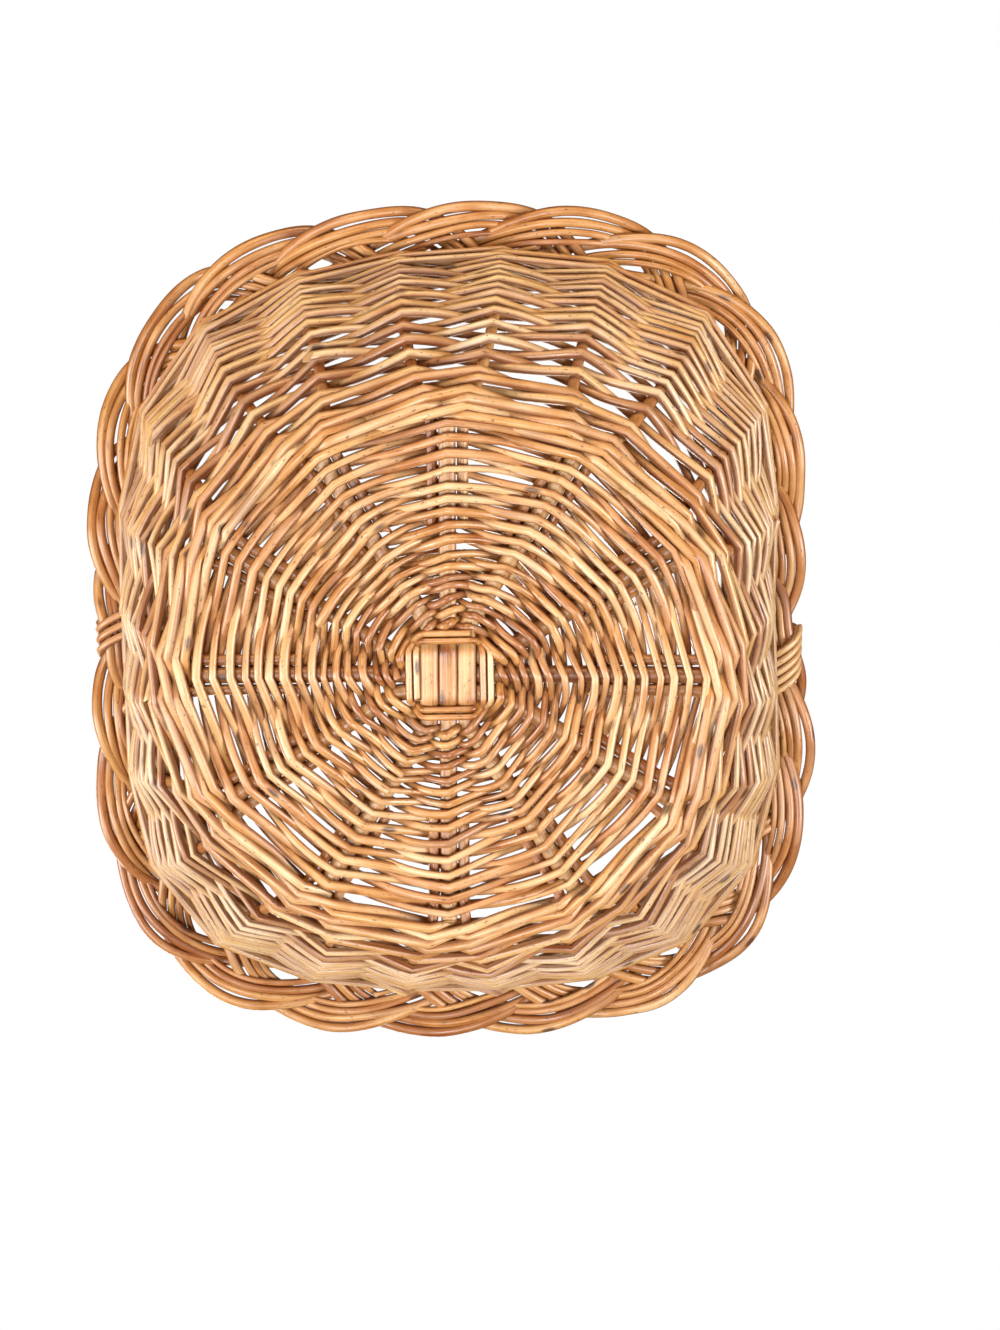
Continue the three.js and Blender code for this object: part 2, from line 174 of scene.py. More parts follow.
# What random lines are made of: sines with rates and strengths round the ones asked for.
wavy = {
    "sines": 4, "rates": (0.5, 1.9), "strengths": (0.3, 0.7),
    "driftWaves": (1, 2, 3, 5, 7), "driftStrengths": (0.3, 0.8), "driftTurns": (0.35, 1.2),
}


def mix(a, b, t):  # a at t 0, b at t 1 and even between them
    return a + (b - a) * t


def smooth(t):  # eases from 0 to 1
    t = np.clip(t, 0, 1)
    return t * t * (3 - 2 * t)


def unit(v):  # the same directions, one long
    return v / np.linalg.norm(v, axis=-1, keepdims=True)


# A smooth random line: the sum of four sines near the wavelength with random phases and strengths.
def wobble(s, seed, wavelength, amplitude):
    r, count = np.random.default_rng(seed), wavy["sines"]
    rate = fullTurn / wavelength * r.uniform(*wavy["rates"], count)
    sines = np.sin(np.multiply.outer(s, rate) + r.uniform(0, fullTurn, count))
    return amplitude * (sines * r.uniform(*wavy["strengths"], count)).sum(-1)


# Rows drift together: sines that run round the basket and shift slowly from row to row.
def rowDrift(s, count, seed, amplitude):
    r = np.random.default_rng(seed)
    total = 0 * s
    for waves in wavy["driftWaves"]:
        strength, turn = r.uniform(*wavy["driftStrengths"]), r.uniform(*wavy["driftTurns"])
        phase = fullTurn * waves * s / count + turn * s / count + r.uniform(0, fullTurn)
        total = total + strength * np.sin(phase)
    return amplitude * total


def polar(r, angle, z):  # points from radius, angle and height
    return np.stack(np.broadcast_arrays(r * np.cos(angle), r * np.sin(angle), z), -1)


# Radius of a superellipse with half axes a and b at an angle, plus the waves of the list named.
def outline(a, b, angle, uneven="uneven"):
    p = basket["outlinePower"]
    waves = sum(size * np.cos(order * (angle - np.radians(peak))) for order, size, peak in basket[uneven])
    return (np.abs(np.cos(angle) / a) ** p + np.abs(np.sin(angle) / b) ** p) ** (-1 / p) + waves


def levelAt(r):  # the base is a shallow dome
    return basket["baseLevel"] + basket["baseDome"] * (1 - (r / basket["stickReach"]) ** 2)


# How far an outer stick of an arm has fanned out at a distance a along the arm.
def lateralAt(side, a):
    fan = fullTurn / basket["spokes"]
    endA, endL = basket["stickReach"] * np.cos(fan), basket["stickReach"] * np.sin(fan)
    t = np.maximum(0, (np.abs(a) - basket["fanStart"]) / (endA - basket["fanStart"]))
    return side * mix(basket["stickPitch"], endL, t)


# Point at a distance a along an arm and sideways off it: both turned by the arm's quarter turns.
def onArm(a, lateral, arm, z):
    angle = fullTurn * arm / basket["arms"]
    c, s = np.cos(angle), np.sin(angle)
    return np.stack([a * c - lateral * s, a * s + lateral * c, z], -1)


# Point on spoke j at radius r: arm j/3, its middle stick straight, its outer sticks fanning. The
# distance a along the arm closes in on the place where a and the sideways fan give r.
def spokeAt(j, r):
    passes = 25
    arm = np.floor(np.asarray(j) / basket["perArm"] + 0.5)
    side = j - basket["perArm"] * arm
    a = np.asarray(r, float) * 1.0
    for _ in range(passes):
        a = np.sqrt(np.maximum(r * r - lateralAt(side, a) ** 2, 1))
    return onArm(a, lateralAt(side, a), arm, levelAt(r) + 0 * a)


# The wall's middle surface, straight from the round foot at u 0 to the rounded-square rim at u 1, plus a
# swell of half a sine.
def wallPoint(angle, u):
    rim = outline(basket["topHalfWidth"], basket["topHalfLength"], angle, "wallUneven")
    r = mix(basket["wallFootRadius"], rim, u) + basket["bulge"] * np.sin(np.pi * np.clip(u, 0, 1))
    return polar(r, angle, basket["wallBottom"] + basket["wallHeight"] * u)


# Outward normal and upward direction of the wall, from its points a small step either way.
def wallFrame(angle, u):
    step = 1e-3
    around = wallPoint(angle + step, u) - wallPoint(angle - step, u)
    rise = wallPoint(angle, u + step) - wallPoint(angle, u - step)
    return unit(np.cross(around, rise)), unit(rise)


bendHalf = np.arcsin((basket["stakeBeside"] + basket["stakeRadius"]) / basket["bendRadius"])


# Angle of stake k: the two stakes of a spoke start close together, and from the middle of the wall up
# all stand evenly.
def stakeAngle(k, u):
    even, foot = fullTurn / basket["stakes"] / 2, bendHalf * basket["footSpread"]
    spread = mix(even, foot, np.maximum(0, 1 - u / basket["evenFrom"]) ** 2)
    k = np.asarray(k)
    return fullTurn / basket["spokes"] * (k // 2) + np.where(k % 2, 1, -1) * spread


rodMake = {
    "edgeInset": 0.2, "edgeScale": 0.9,  # a slightly smaller ring right at each end makes the cut's edge
    "patterns": 97, "patternShift": 400,  # seeds, and millimetres of the pattern between two
}


# What one willow rod is made from: its middle line, a direction for its sides, its radius and its look.
def rod(path, reference, radius, tone=0.5, seed=0, closed=False, flat=1.0, slant=(0.5, 0.5)):
    return dict(path=np.asarray(path, float), reference=np.asarray(reference, float), radius=radius,
                tone=tone, seed=seed, closed=closed, flat=flat, slant=slant, hue=chance.uniform())


# A ring of points round each point of the path, square to it: radius times cosine along the side
# direction and radius times sine across it, with a slanted flat cut at each open end.
def rodSurface(r, sides):
    path = r["path"]
    n = len(path)
    radius = np.broadcast_to(np.asarray(r["radius"], float), (n,)).copy()
    if r["closed"]:
        along = unit(np.roll(path, -1, 0) - np.roll(path, 1, 0))
    else:
        along = unit(np.gradient(path, axis=0))
    reference = np.broadcast_to(r["reference"], path.shape)
    turnRate = np.linalg.norm(np.gradient(along, axis=0), axis=1) / np.maximum(
        np.linalg.norm(np.gradient(path, axis=0), axis=1), 1e-6)
    flat, tone = (np.broadcast_to(np.asarray(r[key], float), (n,)) for key in ("flat", "tone"))
    if not r["closed"]:
        edges = path[:1] + along[:1] * rodMake["edgeInset"], path[-1:] - along[-1:] * rodMake["edgeInset"]
        path = np.concatenate([path[:1], edges[0], path[1:-1], edges[1], path[-1:]])
        along, reference, turnRate, flat, tone, radius = (
            np.concatenate([v[:1], v, v[-1:]]) for v in (along, reference, turnRate, flat, tone, radius))
        radius[[0, -1]] *= rodMake["edgeScale"]
        n += 2
    side = unit(reference - along * (reference * along).sum(1, keepdims=True))
    across = np.cross(along, side)
    a = fullTurn * np.arange(sides) / sides
    ringSide = (radius * flat)[:, None] * np.cos(a)
    ringAcross = radius[:, None] * np.sin(a)
    verts = path[:, None] + side[:, None] * ringSide[..., None] + across[:, None] * ringAcross[..., None]
    length = np.concatenate([[0], np.cumsum(np.linalg.norm(np.diff(path, axis=0), axis=1))])
    place = (length + rodMake["patternShift"] * r["seed"])[:, None]
    space = np.stack([ringSide, ringAcross, np.broadcast_to(place, ringSide.shape)], -1)
    look = np.zeros((n, sides, 3))
    look[..., 0] = tone[:, None]
    look[..., 2] = np.clip(turnRate * radius, 0, 1)[:, None]
    kind = np.zeros((n, sides, 3))
    kind[..., 0] = r["hue"]
    kind[..., 1] = np.abs(np.sin(a))
    i, k = np.meshgrid(np.arange(n if r["closed"] else n - 1), np.arange(sides), indexing="ij")
    j, m = (i + 1) % n, (k + 1) % sides
    quads = np.stack([i * sides + k, i * sides + m, j * sides + m, j * sides + k], -1).reshape(-1, 4)
    verts, space, look, kind = (v.reshape(-1, 3) for v in (verts, space, look, kind))
    fans = np.zeros((0, 3), int)
    if not r["closed"]:
        for end, sign in ((0, -1), (1, 1)):
            first = end * (n - 1) * sides
            ring = np.arange(first, first + sides)
            tilt = r["slant"][end] * radius[-end]
            shift = np.outer(tilt * (np.cos(a) - 1) * sign, along[-end])
            verts[ring] += shift
            verts[ring - sign * sides] += shift
            look[ring, 1] = 1
            centre = len(verts)
            verts = np.concatenate([verts, verts[ring].mean(0, keepdims=True)])
            space = np.concatenate([space, [[0, 0, space[first, 2]]]])
            look = np.concatenate([look, [[tone[-end], 1, 0]]])
            kind = np.concatenate([kind, [[r["hue"], 0, 0]]])
            around = [ring, np.roll(ring, -1)][::sign]
            fans = np.concatenate([fans, np.stack([np.full(sides, centre), *around], -1)])
    return verts, quads, fans, space, look, kind


# One object of many rods. Its points carry the rod's own space (side, across, length), its look (tone,
# cut, kink) and its kind (hue, and 1 on the flanks where it lies against its neighbours, the mask of the
# painted shade there).
def makePiece(name, rods, material, nodes, sides=8):
    parts = [rodSurface(r, sides) for r in rods]
    offset = np.cumsum([0] + [len(p[0]) for p in parts])
    verts = np.concatenate([p[0] for p in parts]) * metre
    quads = np.concatenate([p[1] + o for p, o in zip(parts, offset)])
    fans = np.concatenate([p[2] + o for p, o in zip(parts, offset)])
    mesh = bpy.data.meshes.new(name)
    mesh.from_pydata(verts, [], quads.tolist() + fans.tolist())
    for key, column, scale in (("rodSpace", 3, metre), ("rodLook", 4, 1), ("rodKind", 5, 1)):
        values = np.concatenate([p[column] for p in parts]) * scale
        attribute = mesh.attributes.new(key, "FLOAT_VECTOR", "POINT")
        attribute.data.foreach_set("vector", values.astype(np.float32).ravel())
    mesh.polygons.foreach_set("use_smooth", [True] * len(quads) + [False] * len(fans))
    mesh.materials.append(material)
    mesh.update()
    obj = bpy.data.objects.new(name, mesh)
    scene.collection.objects.link(obj)
    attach(obj, "root")
    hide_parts(*nodes)
    print(name, len(rods), "rods,", 2 * len(quads) + len(fans), "triangles")


# A line through the points at an even step, its corners eased by a bell-shaped running mean.
def refined(points, step, softness):
    points = np.asarray(points, float)
    length = np.concatenate([[0], np.cumsum(np.linalg.norm(np.diff(points, axis=0), axis=1))])
    fine = 0.5
    s = np.linspace(0, length[-1], max(8, int(round(length[-1] / fine)) + 1))
    line = np.stack([np.interp(s, length, points[:, i]) for i in range(3)], 1)
    reach = int(3 * softness / fine)
    if reach:
        weight = np.exp(-0.5 * (np.arange(-reach, reach + 1) * fine / softness) ** 2)
        weight /= weight.sum()
        before = 2 * line[0] - line[1:reach + 1][::-1]
        after = 2 * line[-1] - line[-reach - 1:-1][::-1]
        padded = np.concatenate([before, line, after])
        line = np.stack([np.convolve(padded[:, i], weight, "valid") for i in range(3)], 1)
    take = np.linspace(0, len(line) - 1, max(4, int(length[-1] / step) + 1))
    return line[np.unique(np.round(take).astype(int))]


# Peeled, boiled and dried willow: the skin is smooth with a satin sheen, tan to honey, and darkens
# where it is bent.
finishes = {  # colours from dark to pale, one stop each
    # the flank share in each finish is painted shade on a rod's flanks, where its neighbours shade it
    "buff willow stick": dict(
        stops=["#80420F", "#B9854E", "#D1AB79", "#DEC198", "#EAD8BA"], flankShade=0.5, rough=0.42),
    # the stakes' colours are darker and more orange than the weavers': painted shade, as the stakes lie
    # behind the weave
    "buff willow stake with painted shade": dict(
        stops=["#80400C", "#B6763C", "#CE9A64", "#DEBA8C", "#EAD6B4"], flankShade=0.5, rough=0.42),
    "buff willow weaver": dict(
        stops=["#80420F", "#BB8550", "#D4AD7E", "#DFC39D", "#EAD8BD"], flankShade=0.85, rough=0.36),
    "buff willow border rod": dict(
        stops=["#7A3E0C", "#B37A43", "#CB9D69", "#D9B78E", "#E8D2B6"], flankShade=0.8, rough=0.38),
    "buff willow handle rod": dict(
        stops=["#80420F", "#BB8651", "#D7AE7E", "#E5C599", "#F1DBB9"], flankShade=0.8, rough=0.38),
}
# The skin that they share. Rod space is in metres, so a scale of 22 along the rod gives changes over
# about 45 mm. The streaks are 0.7 mm wide, coarser than real grain, so that they show.
skin = {
    "noises": {  # scale sideways, across and along the rod, and detail
        "slow": ((60, 60, 22), 2), "patch": ((160, 160, 85), 3), "streak": ((1500, 1500, 30), 2),
        "mark": ((70, 70, 17), 2), "speck": ((900, 900, 420), 1), "dash": ((2400, 2400, 170), 1),
    },
    "toneShares": (("slow", 0.85), ("patch", 0.55), ("streak", 0.6)),
    "toneMiddle": 1.0,  # what the three add on average
    "kinkTone": -0.25,
    "toneEnds": (0.04, 0.96),
    "rampStart": 0.02, "rampLength": 0.96,
    # weathered, pink, plain and straw rods
    "tints": ((0.02, "#D0B5A2"), (0.14, "#F2E2D8"), (0.45, "#FFFFFF"), (0.92, "#FBF4DA")),
    # painted shade on each rod's flanks, where its neighbours shade it: where it starts across the rod, and
    # its colour
    "flankShadeFrom": 0.62, "flankShadeColour": "#6E2A00",
    # brown weathered lengths, flecks of 1 mm and short dashes: noise, start, full, share, colour
    "stains": (
        ("mark", 0.56, 0.72, 0.7, "#94664A"),
        ("speck", 0.67, 0.75, 0.75, "#5B3A26"),
        ("dash", 0.68, 0.78, 0.55, "#64381A"),
    ),
    "budScale": (90, 90, 36), "bud": (0.15, 0.08, 0.85, "#4A2E1F"),  # scars of 1 mm by 3 mm
    "cutShare": 0.8, "cutColour": "#BF9566",
    "glossNoise": (0.3, 0.7), "smoother": 0.06, "rougher": 0.08,
    "bumpStrength": 0.4, "bumpDepth": 0.0003,
    "ior": 1.55, "specular": 0.8,
}


# The tone of the whole rod plus slow changes of brown along it, patches and fine streaks along the
# grain, less at a kink, goes through the finish's colours and is tinted by the rod's hue. Over it lie
# painted shade on the flanks, where the rod touches its neighbours, then stains, bud scars and the cut
# colour of the ends.
def willow(name, f):
    material = bpy.data.materials.new(name)
    material.use_nodes = True
    tree = material.node_tree
    tree.nodes.clear()
    space = addNode(tree, "ShaderNodeAttribute", {"attribute_name": "rodSpace"})
    look = addNode(tree, "ShaderNodeAttribute", {"attribute_name": "rodLook"})
    kind = addNode(tree, "ShaderNodeAttribute", {"attribute_name": "rodKind"})
    parts = addNode(tree, "ShaderNodeSeparateXYZ", {}, {0: (look, "Vector")})
    kinds = addNode(tree, "ShaderNodeSeparateXYZ", {}, {0: (kind, "Vector")})
    noises = {}
    for key, (scale, detail) in skin["noises"].items():
        place = addNode(tree, "ShaderNodeVectorMath", {"operation": "MULTIPLY", 1: scale},
                        {0: (space, "Vector")})
        noises[key] = addNode(tree, "ShaderNodeTexNoise", {"Scale": 1.0, "Detail": detail},
                              {"Vector": (place, 0)})
    tone = parts
    for key, strength in skin["toneShares"]:
        tone = addNode(tree, "ShaderNodeMath", {"operation": "MULTIPLY_ADD", 1: strength},
                       {0: (noises[key], 0), 2: (tone, 0)})
    tone = addNode(tree, "ShaderNodeMath", {"operation": "MULTIPLY_ADD", 1: skin["kinkTone"]},
                   {0: (parts, 2), 2: (tone, 0)})
    tone = addNode(tree, "ShaderNodeMath", {"operation": "SUBTRACT", 1: skin["toneMiddle"]}, {0: (tone, 0)})
    last = len(f["stops"]) - 1
    stops = [(skin["rampStart"] + skin["rampLength"] * i / last, code) for i, code in enumerate(f["stops"])]
    ramps = []
    for source, codes in ((tone, stops), (kinds, skin["tints"])):
        ramp = addNode(tree, "ShaderNodeValToRGB", {}, {"Fac": (source, 0)})
        while len(ramp.color_ramp.elements) < len(codes):
            ramp.color_ramp.elements.new(0.5)
        for index, (position, code) in enumerate(codes):
            ramp.color_ramp.elements[index].position = position
            ramp.color_ramp.elements[index].color = linear(code)
        ramps.append(ramp)
    colour = addNode(tree, "ShaderNodeMix", {"data_type": "RGBA", "blend_type": "MULTIPLY", 0: 1.0},
                     {6: (ramps[0], 0), 7: (ramps[1], 0)})
    place = addNode(tree, "ShaderNodeVectorMath", {"operation": "MULTIPLY", 1: skin["budScale"]},
                    {0: (space, "Vector")})
    bud = addNode(tree, "ShaderNodeTexVoronoi", {"Scale": 1.0}, {"Vector": (place, 0)})
    # the first layer is painted shade on the rod's flanks
    layers = [(kinds, 1, skin["flankShadeFrom"], 1.0, f["flankShade"], skin["flankShadeColour"])]
    layers += [(noises[key], 0, *rest) for key, *rest in skin["stains"]]
    layers += [(bud, "Distance", *skin["bud"]), (parts, 1, 0.0, 1.0, skin["cutShare"], skin["cutColour"])]
    for source, output, start, full, most, code in layers:
        share = addNode(tree, "ShaderNodeMapRange",
                        {"From Min": start, "From Max": full, "To Min": 0.0, "To Max": most},
                        {"Value": (source, output)})
        colour = addNode(tree, "ShaderNodeMix", {"data_type": "RGBA", 7: linear(code)},
                         {0: (share, 0), 6: (colour, 2)})
    low, high = skin["glossNoise"]
    gloss = addNode(tree, "ShaderNodeMapRange",
                    {"From Min": low, "From Max": high, "To Min": f["rough"] - skin["smoother"],
                     "To Max": f["rough"] + skin["rougher"]}, {"Value": (noises["patch"], 0)})
    bump = addNode(tree, "ShaderNodeBump",
                   {"Strength": skin["bumpStrength"], "Distance": skin["bumpDepth"]},
                   {"Height": (noises["streak"], 0)})
    surface = addNode(tree, "ShaderNodeBsdfPrincipled",
                      {"IOR": skin["ior"], "Specular IOR Level": skin["specular"]},
                      {"Base Color": (colour, 2), "Roughness": (gloss, 0), "Normal": (bump, 0)})
    addNode(tree, "ShaderNodeOutputMaterial", {}, {"Surface": (surface, 0)})
    return material


willows = {name: willow(name, f) for name, f in finishes.items()}
print(len(willows), "finishes are made")


def tones(middle, spread):  # a rod's tone from a bell curve, kept off the ends of the colours
    return np.clip(chance.normal(middle, spread), *skin["toneEnds"])


sticks = {
    "tone": 0.4, "spread": 0.08, "endWander": 1.0, "step": 1.5, "seeds": 999,
    "taper": 0.05, "thicker": 0.075,  # shares of the radius, lost at the ends and gained at the crossing
    "nestMargin": 2.5, "nestEase": 4,
    "swell": 1.7, "opening": 2.6, "halfFlat": 0.53,  # a split stick's halves part, more at the crossing
    "waves": (40, 0.012),
}


# Along one arm line from end to end: the distance a, the sideways fan and the dome's level.
def stickPath(arm, side, reach):
    a = np.linspace(-reach, reach, int(2 * reach / sticks["step"]))
    lateral = lateralAt(side, a)
    return a, onArm(a, lateral, arm, levelAt(np.hypot(a, lateral)))


# Three sticks threaded flat through three split ones, whose halves bow apart round them.
def baseSticks():
    fan = fullTurn / basket["spokes"]
    for arm, name in ((0, "threadedSticks"), (1, "splitSticks")):
        rods = []
        for side in (-1, 0, 1):
            length = basket["stickReach"] * (np.cos(fan) if side else 1)
            reach = length + chance.uniform(-1, 1) * sticks["endWander"]
            a, path = stickPath(arm, side, reach)
            inside = smooth((basket["nest"] + sticks["nestMargin"] - np.abs(a)) / sticks["nestEase"])
            tone, seed = tones(sticks["tone"], sticks["spread"]), chance.integers(1, sticks["seeds"])
            shape = 1 - sticks["taper"] * (a / reach) ** 2 + sticks["thicker"] * inside
            radius = basket["stickRadius"] * shape * (1 + wobble(a, seed, *sticks["waves"]))
            if arm == 0:
                flat = mix(1.0, basket["threadedHalf"] / basket["stickRadius"], inside)
                rods.append(rod(path, (0, 0, 1), radius, tone, seed, flat=flat))
            else:
                for half in (-1, 1):
                    parting = half * (sticks["swell"] + inside * sticks["opening"])
                    lifted = path + np.array([0, 0, 1]) * parting[:, None]
                    rods.append(rod(lifted, (0, 0, 1), radius, tone, seed, flat=sticks["halfFlat"]))
        makePiece(name, rods, willows["buff willow stick"],
                  [f"base_stick_{'threaded' if arm == 0 else 'split'}_{i}" for i in (1, 2, 3)], sides=14)


baseSticks()

ties = {
    "first": 12.7, "pitch": 3.1, "radius": 1.45, "turns": 2, "gap": 0.1,
    "overSplit": 1.25,  # over the split sticks, which stand out further
    "corners": (-1, -0.4, 0.4, 1), "tuck": 0.6, "drift": 0.25,
    "step": 1.0, "softness": 1.1, "tone": 0.45, "spread": 0.05, "seed": 31,
}


# Two rods bind the four arms: straight over one arm, round the corner and under the next.
def tieRods():
    rods = []
    for k in (0, 1):
        points = []
        for m in range(basket["arms"] * ties["turns"]):
            arm = 2 * k + m
            away = basket["stickRadius"] + ties["radius"] + ties["gap"]
            level = (1 if arm % 2 else -1) * (1 if k else -1) * away
            if arm % 2:
                level *= ties["overSplit"]
            for end in ties["corners"]:
                a = ties["first"] + ties["pitch"] * (m + ties["drift"] * end) / basket["arms"]
                lateral = end * (basket["stickPitch"] + basket["stickRadius"] - ties["tuck"])
                points.append(onArm(a, lateral, arm, levelAt(a) - level))
        path = refined(points, ties["step"], ties["softness"])
        tone = tones(ties["tone"], ties["spread"])
        rods.append(rod(path, (0, 0, 1), ties["radius"], tone, ties["seed"] + k))
    makePiece("baseTies", rods, willows["buff willow weaver"],
              ["base_tie_a", "base_tie_b"])


tieRods()

# The ends of all weavers, in spans from one stick or stake to the next and in shares of the radius.
weaver = {
    "overlap": 1.4, "lead": 0.2, "ease": 0.8,  # a tip runs on beside the next butt and moves over early
    "butt": 1.14, "tip": 0.84, "thinned": 0.35, "aside": 1.3,
    "proudSpans": 0.7, "buttSlant": (0.2, 1.5), "tipSlant": 0.2,
    "waves": (1.7, 0.03), "seeds": 9999,
}


# Places s along a strand, counted in spans from stick to stick, and for each its span, its share of that,
# its row and its share of the strand.
def spans(rows, perRow, n):
    total = int(rows * perRow)
    s = np.arange(total * n + 1) / n
    k0 = np.minimum(np.floor(s).astype(int), total - 1)
    return total, s, k0, s - k0, k0 // perRow, s / total


# Where in each span a pair crosses: the middle, shifted to and fro from row to row, and by a sine from
# one span to the next.
def crossingAt(row, k0, strand, w):
    byRow, bySpan, rate, turn = w["crossing"]
    return 0.5 + byRow * np.where(row % 2, 1, -1) + bySpan * np.sin(rate * k0 + turn * strand)


# From +1 (in front) at f 0 to -1 (behind) at f 1, through 0 at the crossing: a mix of a cosine and a
# straight line.
def pairWave(f, crossing, straight):
    g = np.maximum(f, 1e-6) ** (np.log(0.5) / np.log(crossing))
    return mix(np.cos(np.pi * g), 1 - 2 * g, straight)


# Start and end places of the rods that make up one strand.
def splitRods(count, longest, shortest):
    marks = [0]
    while marks[-1] < count:
        marks.append(marks[-1] + chance.integers(shortest, longest + 1))
    marks[-1] = count
    if len(marks) > 2 and marks[-1] - marks[-2] < shortest // 2:
        marks.pop(-2)
    return list(zip(marks[:-1], marks[1:]))


# One rod of a strand, from its thick butt to its thin tip. The butt starts proud of the weave, on
# either face, and the tip lies beside the next rod's butt. The rod is painted browner the further back
# it passes, from front 1 to -1: painted shade where the stakes and rods in front shade it.
def strandRod(strand, start, stop, w):
    n, s, shape = w["perSpan"], strand["s"], strand["path"].shape
    first, last = start * n, min(stop * n + int(weaver["overlap"] * n), len(s) - 1)
    part = slice(first, last + 1)
    side, outward = (np.broadcast_to(strand[key], shape)[part] for key in ("reference", "outward"))
    path = strand["path"][part].copy()
    t = np.linspace(0, 1, len(path))
    joined = last < len(s) - 1
    overlap = smooth((s[part] - stop + weaver["lead"]) / weaver["ease"]) if joined else np.zeros(len(path))
    size = np.broadcast_to(strand["thick"], s.shape)[part] * mix(weaver["butt"], weaver["tip"], t)
    size = size * (1 - weaver["thinned"] * overlap) * chance.normal(1, w["uneven"])
    path += strand["aside"][part] * (overlap * size * weaver["aside"])[:, None]
    face = 1 if chance.uniform() < w["buttsInFront"] else -1
    if start:
        proud = smooth(1 - (s[part] - start) / weaver["proudSpans"]) * size * w["buttProud"] * face
        path += outward * proud[:, None]
    seed = int(chance.integers(1, weaver["seeds"]))
    size = size * (1 + wobble(s[part], seed, *weaver["waves"]))
    # painted shade: the tone drops where the rod passes behind the stakes
    tone = tones(w["tone"], w["spread"]) - w["recessShade"] * (1 - strand["front"][part]) / 2
    slant = (chance.uniform(*weaver["buttSlant"]) * -face, weaver["tipSlant"])
    return rod(path, side, size, tone, seed % rodMake["patterns"], slant=slant)


baseWeave = {
    "rows": 15.6, "first": 20.6, "last": 105.2, "closer": 0.83, "perSpan": 10, "edgeEase": 6,
    "thinRadius": 1.5, "thickRadius": 1.92, "thicken": 1.3, "longest": 34, "shortest": 16, "gap": 0.15,
    "crossLift": 0.9,  # sideways parting of the two rods where they cross, in rod radii
    "crossing": (0.09, 0.05, 7.3, 3),  # shift by row, shift by span, its rate, and its lead from rod to rod
    "bulge": 0.35, "straightFrom": 30, "straightOver": 40, "straight": 0.7,
    "drift": 0.75, "driftSeed": 50, "wander": 0.35, "wanderSpans": 4.0, "wanderSeed": 52,
    # the recess share is painted shade where a rod passes behind the stakes
    "uneven": 0.12, "buttsInFront": 0.7, "buttProud": 1.2, "tone": 0.46, "spread": 0.07, "recessShade": 0.18,
}


# Rounds of pairing on the base. A row's radius grows evenly round the spiral; from spoke to spoke a rod
# runs in a straight line from the front of one to the back of the next, and the two rods part sideways
# where they cross.
def basePairing(w):
    spokes = basket["spokes"]
    total, s, k0, f, row, share = spans(w["rows"], spokes, w["perSpan"])
    edge = smooth(share * w["edgeEase"]) * smooth((1 - share) * w["edgeEase"])
    radius = w["first"] + (w["last"] - w["first"]) * share * (w["closer"] + (1 - w["closer"]) * share)
    radius = radius + rowDrift(s, spokes, w["driftSeed"], w["drift"]) * edge
    thick = mix(w["thinRadius"], w["thickRadius"], smooth(share * w["thicken"]))
    rods = []
    for strand in (0, 1):
        r = radius + wobble(s, w["wanderSeed"] + strand, w["wanderSpans"], 1.0) * w["wander"] * edge
        a, b = spokeAt(k0 % spokes, r), spokeAt((k0 + 1) % spokes, r)
        chord = mix(a, b, f[:, None])
        bulge = (r - np.linalg.norm(((a + b) / 2)[:, :2], axis=1)) * 4 * f * (1 - f)
        outward = unit(chord * [1, 1, 0])
        line = chord + outward * (w["bulge"] * bulge)[:, None]
        front = np.where((k0 + strand) % 2 == 0, 1, -1)
        straight = np.clip((r - w["straightFrom"]) / w["straightOver"], 0, 1) * w["straight"]
        passing = front * pairWave(f, crossingAt(row, k0, strand, w), straight)
        out = passing * (basket["stickRadius"] + thick + w["gap"])
        part = front * thick * w["crossLift"] * np.sin(np.pi * f)
        path = line + outward * part[:, None] - np.array([0, 0, 1]) * out[:, None]
        strandLine = dict(path=path, s=s, thick=thick, reference=(0, 0, 1), outward=(0, 0, -1),
                          aside=outward, front=passing)
        rods += [strandRod(strandLine, *ends, w) for ends in splitRods(total, w["longest"], w["shortest"])]
    return rods


makePiece("baseWeaving", basePairing(baseWeave), willows["buff willow weaver"],
          ["base_weaver_inner_a", "base_weaver_inner_b", "base_weaver_outer_a", "base_weaver_outer_b"])

stakes = {
    "start": (56.0, 64.0), "halfTo": 99, "baseEnd": 101.0, "bendInset": 1,
    "heights": (0.09, 0.2, 0.3, 0.4, 0.55, 0.7, 0.85, 1.0),
    # the stakes' low tone is painted shade, as they lie behind the weavers
    "tone": 0.42, "spread": 0.11, "step": 2.4, "softness": 3.0, "cutSlant": 0.9,
}
border = {
    "swing": 12.0, "blunt": 0.18, "skew": -0.38, "lift": 3.8, "phase": 0.175, "perStake": 7, "seed": 300,
    "periods": 4.3, "periodsSpread": 0.15,  # how far a rod runs round, in crossings of its own strand
    "slots": (8.0, -5.5, 0.4),  # sideways place in the group: at first, per period and per period squared
    "joinSlot": -1.0, "joinPeriods": 0.55,  # a stake joins from the middle of its group
    "joinAngle": 13.0, "joinSoftness": 2.5, "joinDrag": 0.25,
    "buttRadius": 2.5, "tipRadius": 1.2, "uneven": 0.04, "waves": (14, 0.025),
    "wander": 0.5, "wanderAngle": 0.5, "liftWander": 0.6, "liftWanderAngle": 0.4,
    "pinch": 0.25, "pinchWidth": 5.0, "pullIn": 1.5,  # the lashings draw the plait together at the handle
    "tone": 0.39, "toneShare": 0.6, "tipSlant": 0.8, "seedShift": 0.31,
}


